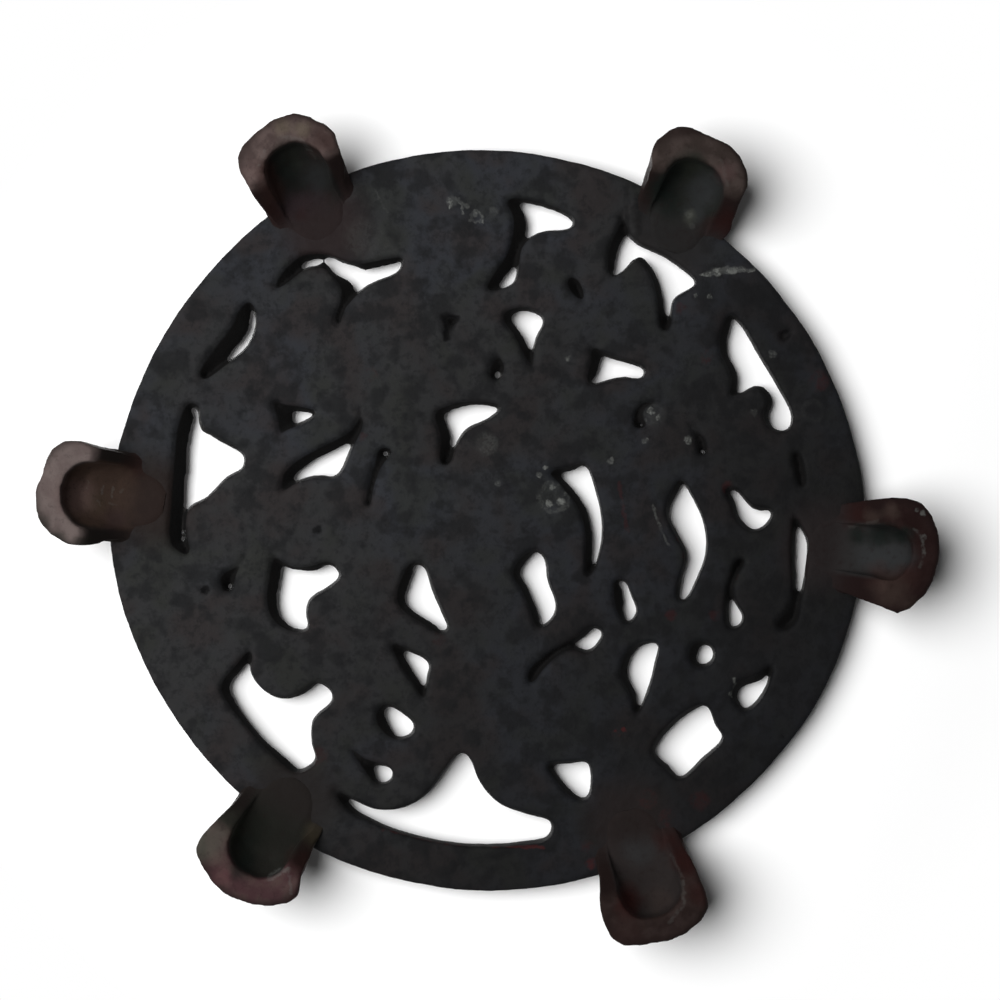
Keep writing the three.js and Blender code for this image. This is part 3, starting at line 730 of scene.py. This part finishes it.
# places (u, v) on the underside, with the radius and depth of each pit; the last are lumps
platePits = [
    (74.3, 45.7, 1.9, 1.3), (75.6, 46.6, 1.3, 0.8), (-61, 26, 1.7, 0.8), (-8.5, 3.5, 1.7, 0.6),
    (17, 5.5, 4.6, 0.6), (41.5, 26.2, 3, -0.4), (36.6, 79, 2.4, -0.8), (36.7, 75.5, 2.4, -0.8),
    (36.9, 72, 2.2, -0.7),
]
# a lump of lime that fills one small opening: its place, and its half sizes across and in height
limePlug = {"place": (41.8, 26, 16.5), "half": (3.7, 3.2, 2)}


def openingWalls(piece):
    # which points are on the openings' walls
    places, facing = points(piece), facings(piece)
    walls = np.abs(facing[:, 2]) < plateShape["wallLean"]
    fromMiddle = np.hypot(places[:, 0] - plateMiddle[0], places[:, 1] - plateMiddle[1])
    walls &= fromMiddle < plateShape["wallsWithin"]
    for row in feet.values():
        tenon = atBearing(row["bearing"], tenonCircle) / mm
        walls &= np.hypot(places[:, 0] - tenon.x, places[:, 1] - tenon.y) > plateShape["tenonRoom"]
    return walls, places, facing


def drawInWalls(piece):
    # sand moulds need openings that narrow towards the top face
    walls, places, facing = openingWalls(piece)
    spread = evenedOut(piece, facing * walls[:, None], plateShape["spreadRounds"])[:, :2]
    strength = np.linalg.norm(spread, axis=1)
    flat = spread / np.maximum(strength, 0.001)[:, None]
    u, v = plateMiddle[0] - places[:, 0], places[:, 1] - plateMiddle[1]
    atMiddle, perRight, perUp = plateShape["leftDraft"]
    extra = atMiddle + perRight * u + perUp * v
    amount = plateShape["draft"] + extra * np.clip(-flat[:, 0], 0, 1)
    amount += plateShape["topDraft"] * np.clip(-flat[:, 1], 0, 1)
    share, fromU, toU = plateShape["rightDraft"]
    amount *= 1 - share * np.clip(flat[:, 0], 0, 1) * smoothStep(u, fromU, toU)
    for (atU, atV), reach, share in plateShape["eased"]:
        near = np.clip(1 - np.hypot(u - atU, v - atV) / reach, 0, 1)
        amount *= 1 + (share - 1) * smoothStep(near, 0, plateShape["easedCore"])
    climb = np.clip((places[:, 2] - plateBottom) / (webTop - plateBottom), 0, 1)
    counted = np.clip(strength / plateShape["fullFrom"], 0, 1)
    places[:, :2] += flat * (amount * climb * counted)[:, None]
    setPoints(piece, places)


def widenRim(piece):
    # the rim isn't quite round
    places = points(piece)
    out = places[:, :2] - np.array(plateMiddle)
    radius = np.maximum(np.linalg.norm(out, axis=1), 1)[:, None]
    amount, right, up = plateShape["rim"]
    amount = amount + (out / radius) @ np.array((-right, up))
    bearings = np.degrees(np.arctan2(out[:, 1], -out[:, 0]))
    for bearing, spread, more in plateShape["rimBulges"]:
        gap = (bearings - bearing + 180) % 360 - 180
        amount += more * np.exp(-(gap / spread) ** 2)
    amount *= smoothStep(radius[:, 0], *plateShape["rimFrom"])
    places[:, :2] += out / radius * amount[:, None]
    setPoints(piece, places)


def smoothPart(piece, which, rounds):
    group = piece.vertex_groups.new(name=f"part{rounds}")
    group.add(np.nonzero(which)[0].tolist(), 1, "ADD")
    modify(piece, "SMOOTH", factor=0.5, iterations=rounds, vertex_group=group.name)


def plugOpening(piece):
    place = fromBelow(*limePlug["place"])
    bpy.ops.mesh.primitive_uv_sphere_add(radius=mm, location=place, scale=limePlug["half"])
    plug = bpy.context.object
    bpy.ops.object.transform_apply()
    onlySelect(piece)
    plug.select_set(True)
    bpy.ops.object.join()


def raiseOrnament(piece):
    # leaves, blossoms, stems and rim bead rise from the top face wherever there is iron
    places, facing = points(piece), facings(piece)
    top = (places[:, 2] > webTop - plateShape["topFrom"]) & (facing[:, 2] > plateShape["topLean"])
    u, v = plateMiddle[0] - places[top, 0], places[top, 1] - plateMiddle[1]
    height = beadHeights(u, v)
    for leaf in leaves:
        height = np.maximum(height, leafHeights(u, v, *leaf))
    for blossom in blossoms:
        height = np.maximum(height, blossomHeights(u, v, *blossom))
    for stem in stems:
        height = np.maximum(height, stemHeights(u, v, stem))
    places[top, 2] += height
    setPoints(piece, places)


# Iron of the feet, with its colours in thousandths
footFinish = {
    "specular": 0.07,
    "roughness": 0.72,
    "fleckRoughness": 0.2,
    "noises": [(4.5, 3), (1.6, 4, 0.65), (0.5, 2)],  # blotches, flecks and grain, as for the plate
    "deep": (0.9, 2.6),       # heights over which the hollow takes on its own colour, mm
    "hollowEdge": (-0.6, 0.8),  # and where it ends, outwards from the hollow's edge
    # each as a wander and two limits: the height where the sole's colour ends, how far out
    # from the tenon it starts, its darker outer edge with its most, and where the root's tint ends
    "soleTop": (2.5, 0.7, 2.6),
    "soleStart": (4, 4, 12),
    "soleEdge": (2.5, 4.2, 6.6, 0.65),
    "rootEnd": (5, -2, 6),
    "rootMost": 0.9,
    "lip": (1.1, 0.2, 1.3),   # the sole's lighter inner edge: middle, and its reach
    "light": (0.4, 0.62, 0.8),  # from which blotches to which the sole is lighter, and its most
    "lipLight": (0.4, 0.6, 0.5),
    "patchWander": (3, 1.6),  # how unevenly patches are edged: size and reach, mm
    "patchSoft": 0.7,
    "grime": (0.52, 0.72, 0.35),
    "markWander": (1.2, 0.7),
    "limeWhere": (0.36, 0.56),
    "bump": (0.5, 0.4, 0.15, 0.3),  # of blotches, flecks and grain, and their depth in mm
    "tints": {
        # painted shade: near black green for the hollows' shaded sides and the band under the right
        # foot's upper arm
        "deepGreenShade": (3, 4.6, 3.8),
        "moss": (10, 11.5, 8.8),
        "grey": (20, 21.5, 22.5),
        "ash": (55, 57, 45),
        "pink": (95, 62, 58),
        "rose": (70, 30, 33),
        "oxblood": (15, 4.2, 3.6),
        "russet": (25, 12, 10.5),
        "brown": (30, 20, 16.5),
        "violet": (28, 17, 20),
        "ochre": (90, 76, 50),
        "tan": (40, 33, 19),
    },
}

# The feet: where each stands round the rim, its finish, and where its metal bulges. The soles' colours
# are partly wear and partly painted light, lighter on the feet nearer the lamp. Each patch is a tint,
# its u, v and height, radius and strength, and spots and strokes are its pale marks: lime and
# scratches, and painted glints on the right foot.
feet = {
    "foot_right": {
        "bearing": 355.5, "turn": -1.5, "toe": 23.9, "hollow": 13.2, "rootAt": 85,
        "sole": (7.2, 2.5, 2.2), "soleLight": (12, 5.5, 5), "trough": (13.5, 13, 13),
        "wall": (7, 3.2, 3), "root": (10.5, 8, 8),
        "knobs": [
            (102.5, -24, 1, 5.5, 0.2, -0.9, 0), (95, 13, 2, 8, 0.5, 0.8, 0),
            (112, -8, 2, 8, 0.5, 0.2, 0), (101, -15, 4, 5, 0.4, -1.4, 0),
        ],
        "patches": [
            ("oxblood", 92, 1, 9, 3.2, 0.6), ("deepGreenShade", 93, -4.4, 9, 2.2, 0.9),
            ("deepGreenShade", 98.5, -4.2, 8, 2.4, 0.95), ("deepGreenShade", 103.5, -4.4, 6, 2, 0.9),
            ("grey", 97, -9.5, 9, 3.5, 0.7), ("grey", 102.5, -9.5, 8, 3, 0.6),
            ("russet", 98, -14.5, 8, 3, 0.5), ("russet", 104, -14, 6, 2.5, 0.4),
            ("brown", 97, 0.4, 1, 1.6, 0.6), ("brown", 101, 1.8, 1, 1.8, 0.6),
            ("brown", 106, -22, 0, 2.4, 0.5), ("brown", 101, -18, 0, 3.6, 0.6),
        ],
        # painted highlights: the white spots and the line down the toe's inner lip are glints
        "spots": [(109, 1.5, 0.7, 0.35), (107.5, 2.2, 0.5, 0.2), (109.3, -4.6, 0.6, 0.22)],
        "strokes": [
            (107, -2.6, 108.8, -4.8, 0.8, 0.12), (108.8, -4.8, 109.3, -8.5, 0.9, 0.2),
            (109.3, -8.5, 108.3, -12, 0.8, 0.09), (92.5, -2.3, 98, -0.6, 0.9, 0.06),
        ],
    },
    "foot_upper_right": {
        "bearing": 57, "turn": 14, "toe": 22.3, "hollow": 16, "rootAt": 83, "markHeight": 11,
        "sole": (23.5, 16.8, 14.6), "soleLight": (42.5, 31.3, 28), "trough": (8.8, 9.5, 8.4),
        "wall": (8.5, 4.6, 4.2), "root": (10.5, 9.8, 9.8),
        "knobs": [
            (61, 70, 8, 7, 2.4, -1.2, 0), (56, 69, 11, 4, 0.8, -1.2, -1), (49, 97, 2, 8, 0, 1.1, 0),
            (67, 84, 2, 6, -0.2, 0, 0), (40, 85, 2, 7, 0.9, 0, 0), (41, 89, 2, 6, 1.1, -0.2, 0),
            (66, 90, 2, 6, -0.7, -0.3, 0), (63, 74, 5, 6, 1.4, -0.5, 0),
        ],
        "patches": [
            ("deepGreenShade", 44, 82.5, 6, 3.2, 0.95), ("deepGreenShade", 46, 77.5, 9, 2.6, 0.85),
            ("moss", 50.5, 88, 6, 3.2, 0.9), ("deepGreenShade", 47, 87, 5, 2.2, 0.8),
            ("grey", 54.2, 82, 8, 3.4, 0.7), ("grey", 52, 76.5, 10, 2.5, 0.6),
            ("ash", 50.8, 75.6, 11, 1.5, 0.45), ("oxblood", 56.2, 70.5, 11, 3.8, 0.85),
            ("oxblood", 60.5, 74.5, 4, 3, 0.8), ("rose", 60, 87, 0, 2.2, 0.2),
            ("oxblood", 49, 70, 13, 2.6, 0.4),
        ],
        "spots": [(50.5, 76.5, 1, 0.12), (51.5, 73.5, 0.8, 0.08)],
        "strokes": [(57.6, 88, 59, 82, 0.8, 0.06)],
    },
    "foot_upper_left": {
        "bearing": 119.2, "turn": -5, "toe": 23.7, "hollow": 15.4, "rootAt": 84,
        "sole": (50, 35, 32.5), "soleLight": (92, 67, 62), "trough": (7.8, 7.8, 7.2),
        "wall": (11.5, 7.2, 6.6), "root": (15, 10, 10),
        "knobs": [
            (-44, 94, 2, 5, 0.3, -0.6, 0), (-38, 88, 3, 4, 0.7, 0.5, 0), (-61, 88, 2, 10, -0.6, 0.5, 0),
            (-50, 101, 2, 7, 0, 0.6, 0), (-36, 84, 4, 7, -1.2, 0, 0), (-60, 78, 3, 7, -0.8, -0.5, 0),
            (-43, 99, 2, 6, -0.6, -0.9, 0),
        ],
        "patches": [
            ("ochre", -51.2, 98, 0, 2, 0.4), ("ochre", -46.4, 97.4, 0, 1.8, 0.4),
            ("pink", -58.9, 86.9, 0, 2.4, 0.35), ("russet", -54.7, 86.5, 4, 2.4, 0.8),
            ("russet", -53.5, 81, 9, 2.6, 0.8), ("moss", -49.6, 90.5, 6, 3.2, 0.6),
            ("deepGreenShade", -50, 87, 8, 2.6, 0.6), ("grey", -43, 85, 8, 2.8, 0.5),
            ("violet", -47.6, 77.4, 12, 3.6, 0.6), ("oxblood", -46, 75.8, 13, 1.6, 0.6),
            ("violet", -43, 79, 12, 3.2, 0.4), ("oxblood", -53, 76, 10, 2.6, 0.5),
            ("russet", -41.5, 94.5, 1, 3.4, 0.6),
        ],
        "strokes": [
            (-57, 88.5, -55.5, 92, 0.9, 0.12), (-52, 95.6, -46.5, 95, 0.9, 0.1),
            (-46.5, 95, -43.5, 91.5, 0.8, 0.1),
        ],
    },
    "foot_left": {
        "bearing": 176.8, "turn": -6, "toe": 23.8, "hollow": 16.2, "rootAt": 84, "markHeight": 10,
        "sole": (92, 70, 66), "soleLight": (115, 91, 85), "trough": (43, 27, 20.5),
        "wall": (12.5, 9.8, 8.8), "root": (12.5, 8, 7),
        "knobs": [
            (-101, -5, 1, 9, 0, -1.3, 0), (-111, 12, 1, 6, 0.6, -0.4, 0), (-98, 18, 2, 7, 0, -0.6, 0),
        ],
        "patches": [
            ("oxblood", -88, 13.6, 4, 3.2, 0.8), ("russet", -83, 11.8, 9, 3.4, 0.7),
            ("brown", -88, 3, 11, 5, 0.5), ("brown", -84, 6, 12, 4, 0.4),
            ("violet", -93.5, -0.5, 9, 2.4, 0.4), ("tan", -97.5, 4, 9, 2.4, 0.25),
            # painted light: the pink patch on the hollow's wall by the toe lifts its shade
            ("russet", -82, 1, 12, 3.5, 0.6), ("pink", -103.5, 5.5, 4, 4, 0.5),
            # painted shade: the moss patches along the sole's lower edge
            ("moss", -112, -1, 0, 2.2, 0.6), ("moss", -107.5, -5.5, 0, 2.2, 0.7),
            ("moss", -101.5, -7, 0, 2.2, 0.7),
        ],
        "strokes": [
            (-99.5, 9.6, -99.6, 7.6, 0.4, 0.12), (-96, 8.3, -96.4, 6.2, 0.5, 0.14),
            (-93.6, 8, -94.1, 5.6, 0.55, 0.18), (-91.4, 7.4, -92.2, 6.6, 0.5, 0.14),
            (-97.2, 4.6, -96.6, 3.2, 0.5, 0.1), (-94.6, 4, -93, 3.4, 0.5, 0.1),
        ],
    },
    "foot_lower_left": {
        "bearing": 234.8, "turn": 5, "toe": 24.3, "hollow": 16, "rootAt": 84,
        "sole": (39, 18.7, 20.5), "soleLight": (56, 34.5, 32), "trough": (8.8, 8.6, 7),
        "wall": (10.5, 7.8, 7), "root": (9.5, 7.6, 7),
        "knobs": [
            (-48.7, -92.1, 1, 6, 0.5, -0.9, 0), (-71, -82, 1, 7, -1, 0, 0),
            (-44, -90, 2, 6, -1, 0.2, 0), (-66, -93, 1, 8, -0.5, -0.5, 0),
            (-45, -78, 8, 5, 1.5, -0.5, -0.8),
        ],
        "patches": [
            ("ash", -69.6, -81, 0, 4.2, 0.55), ("ash", -65.5, -76.5, 0, 3, 0.35),
            ("rose", -66, -89.8, 0, 2, 0.5), ("moss", -58.3, -78, 9, 4, 0.5),
            ("deepGreenShade", -60.7, -86, 6, 2.8, 0.8), ("oxblood", -46.6, -86, 3, 3, 0.6),
            ("tan", -42.2, -79, 8, 3.2, 0.55), ("russet", -48, -97, 0, 2.5, 0.4),
            ("deepGreenShade", -60, -81, 8, 2.2, 0.5), ("oxblood", -50, -97.5, 0, 2, 0.2),
        ],
        "strokes": [(-54.5, -90, -49.8, -87.4, 1, 0.22), (-49.6, -87.4, -48.9, -93.5, 0.8, 0.12)],
    },
    "foot_lower_right": {
        "bearing": 295, "turn": -8.5, "toe": 25.6, "hollow": 15.8, "rootAt": 84,
        "sole": (10.8, 6.1, 5.3), "soleLight": (19.2, 12.4, 11.2), "trough": (13.5, 10.8, 10.4),
        "wall": (7, 3.6, 3.2), "root": (9.8, 7, 6.6),
        "knobs": [
            (54.5, -90, 2, 6, -0.8, 0.3, 0), (30, -97, 1, 6, -0.6, 0.4, 0),
            (34, -104, 1, 8, -0.6, -0.6, 0), (47, -72, 10, 4.5, 0.9, 0.8, -0.8),
        ],
        "patches": [
            ("oxblood", 35.4, -95.6, 5, 3, 0.95), ("oxblood", 44.9, -79.8, 8, 3.2, 0.8),
            ("oxblood", 50, -86, 2, 3, 0.8), ("oxblood", 53.3, -93.5, 0, 3, 0.6),
            ("grey", 37.8, -82.8, 10, 3.6, 0.5), ("russet", 41.3, -73.6, 13, 3.4, 0.6),
            ("brown", 43, -95, 8, 3, 0.3), ("russet", 35, -103, 0, 3.5, 0.3),
        ],
        "strokes": [
            (46.5, -85, 49, -90, 0.8, 0.07), (49, -90, 49.2, -96.4, 0.8, 0.1),
            (49.2, -96.4, 45.5, -101, 0.8, 0.08),
        ],
    },
}
footShape = {
    "voxel": 0.5,
    "toeWall": 6.5,       # thickness of the toe behind the hollow, as in the solids, mm
    "rise": (12, -1.5),   # the legs rise to the plate from here to here, outwards from the tenon
    "mound": (5.4, 8.8),  # the metal round the tenon hides its hole, and then sinks away
    "moundLow": 13.7,     # height of its underside round the tenon
    "moundEnd": 14.65,    # and at its end, inside the plate
    "rounds": 8,
    "blendRounds": 4,     # smoothing once the mound is made
    "layers": [(7, 0.8), (1.6, 0.16)],
    "kept": 0.03,         # share of the tongue's own unevenness that stays
    "most": 60000,
}


def footAxes(row):
    # the foot's tenon, and the directions outwards and along the rim
    angle = row["bearing"] + row["turn"]
    outwards = (atBearing(angle, 1) - atBearing(angle, 0)).normalized()
    return atBearing(row["bearing"], tenonCircle), outwards, Vector((outwards.y, -outwards.x, 0))


def thinTongue(foot, row):
    # the legs rise to a low mound round the tenon, which sinks into the plate without a step
    tenon, outwards, rimwards = footAxes(row)
    places = points(foot)
    fromTenon = places - np.array(tenon) / mm
    along, aside = fromTenon @ np.array(outwards), fromTenon @ np.array(rimwards)
    out = np.hypot(aside, np.minimum(along, 0))
    floor = footShape["moundLow"] + smoothStep(out, *footShape["mound"]) * (
        footShape["moundEnd"] - footShape["moundLow"])
    near, far = footShape["rise"]
    share = smoothStep(-along, -near, -far)
    low = places[:, 2] < footShape["moundEnd"]
    places[low, 2] += (share * (floor + footShape["kept"] * places[:, 2] - places[:, 2]))[low]
    setPoints(foot, places)


def footIron(node):
    finish, row = footFinish, feet[node]
    material, bench = newMaterial(node.replace("_", " ") + " iron")
    place = bench.place()
    flat = bench.vector("MULTIPLY", place, (1, 1, 0))
    height = bench.height(place)
    tenon, outwards, rimwards = footAxes(row)
    fromTenon = bench.vector("SUBTRACT", flat, tenon)
    along, aside = (bench.vector("DOT_PRODUCT", fromTenon, way, output=1) / mm
                    for way in (outwards, rimwards))
    blotches, flecks, grain = (bench.noise(place, *noise) for noise in finish["noises"])

    def unevenly(value, wander, low, high, most=1):
        return bench.share(value + wander * (blotches - 0.5), low, high, most)

    half = row["hollow"] / 2
    past = bench.maths("MAXIMUM", along - (row["toe"] - footShape["toeWall"] - half), 0)
    fromHollow = (past ** 2 + aside ** 2) ** 0.5 - half
    hollow = (1 - bench.rise(fromHollow, *finish["hollowEdge"])) * bench.rise(height, *finish["deep"])
    sole = (1 - unevenly(height, *finish["soleTop"])) * unevenly(along, *finish["soleStart"])
    sole = sole * (1 - unevenly(fromHollow, *finish["soleEdge"]))
    middle, near, far = finish["lip"]
    lip = sole * (1 - bench.rise(abs(fromHollow - middle), near, far))

    # painted light over real wear: the soles are lighter on the feet nearer the lamp
    worn = bench.blend(bench.share(blotches, *finish["light"]), row["sole"], row["soleLight"])
    worn = bench.blend(lip * bench.share(flecks, *finish["lipLight"]), worn, row["soleLight"])
    skin = bench.blend(sole, row["wall"], worn)
    skin = bench.blend(hollow, skin, row["trough"])
    drawn = bench.wandering(flat, *finish["patchWander"])
    for tint, u, v, level, radius, strength in row["patches"]:
        middle = seenAt(u, v, level).to_2d().to_3d()
        patch = spotMask(bench, drawn, middle, radius, finish["patchSoft"])
        skin = bench.blend(patch * strength, skin, finish["tints"][tint])
    root = (1 - unevenly(along, *finish["rootEnd"])) * finish["rootMost"]
    skin = bench.blend(root, skin, row["root"])
    skin = bench.blend(bench.share(flecks, *finish["grime"]), skin, row["wall"])
    # pale marks: lime and scratches, and painted glints on the right foot
    markPlace = bench.wandering(flat, *finish["markWander"])
    lime = markMask(bench, markPlace, row, row.get("markHeight", 0))
    lime = lime * bench.rise(flecks, *finish["limeWhere"])
    skin = bench.blend(lime, skin, plateFinish["residue"])

    roughness = finish["roughness"] + finish["fleckRoughness"] * flecks
    castIron(bench, finish, skin, roughness, [blotches, flecks, grain])
    return material


def footCasting(node):
    name = "hollow" + "".join(word.capitalize() for word in node.split("_"))
    foot = mergedCopy(node, name)
    evenSkin(foot, footShape["voxel"])
    kneaded(foot, feet[node]["knobs"])
    modify(foot, "SMOOTH", factor=0.5, iterations=footShape["rounds"])
    uneven(foot, footShape["layers"])
    thinTongue(foot, feet[node])
    modify(foot, "SMOOTH", factor=0.5, iterations=footShape["blendRounds"])
    thinned(foot, footShape["most"])
    foot.data.materials.append(footIron(node))
    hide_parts(node)
    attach(foot, "root")


def plateCasting():
    plate = mergedCopy("openwork_plate", "openworkCasting")
    evenSkin(plate, plateShape["voxel"])
    places = points(plate)
    places[:, 2] = np.minimum(places[:, 2], webTop)
    setPoints(plate, places)
    drawInWalls(plate)
    widenRim(plate)
    plugOpening(plate)
    evenSkin(plate, plateShape["voxel"])
    smoothPart(plate, openingWalls(plate)[0], plateShape["wallRounds"])
    low = points(plate)[:, 2] < plateBottom + plateShape["softened"]
    smoothPart(plate, low, plateShape["softRounds"])
    modify(plate, "SMOOTH", factor=0.5, iterations=plateShape["rounds"])
    raiseOrnament(plate)
    kneaded(plate, [(u, v, plateBottom, reach, 0, 0, depth) for u, v, reach, depth in platePits])
    uneven(plate, plateShape["layers"])
    thinned(plate, plateShape["most"])
    plate.data.materials.append(plateIron())
    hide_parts("openwork_plate")
    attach(plate, "root")


plateCasting()
print("plate cast")
for node in feet:
    footCasting(node)
print("feet cast")
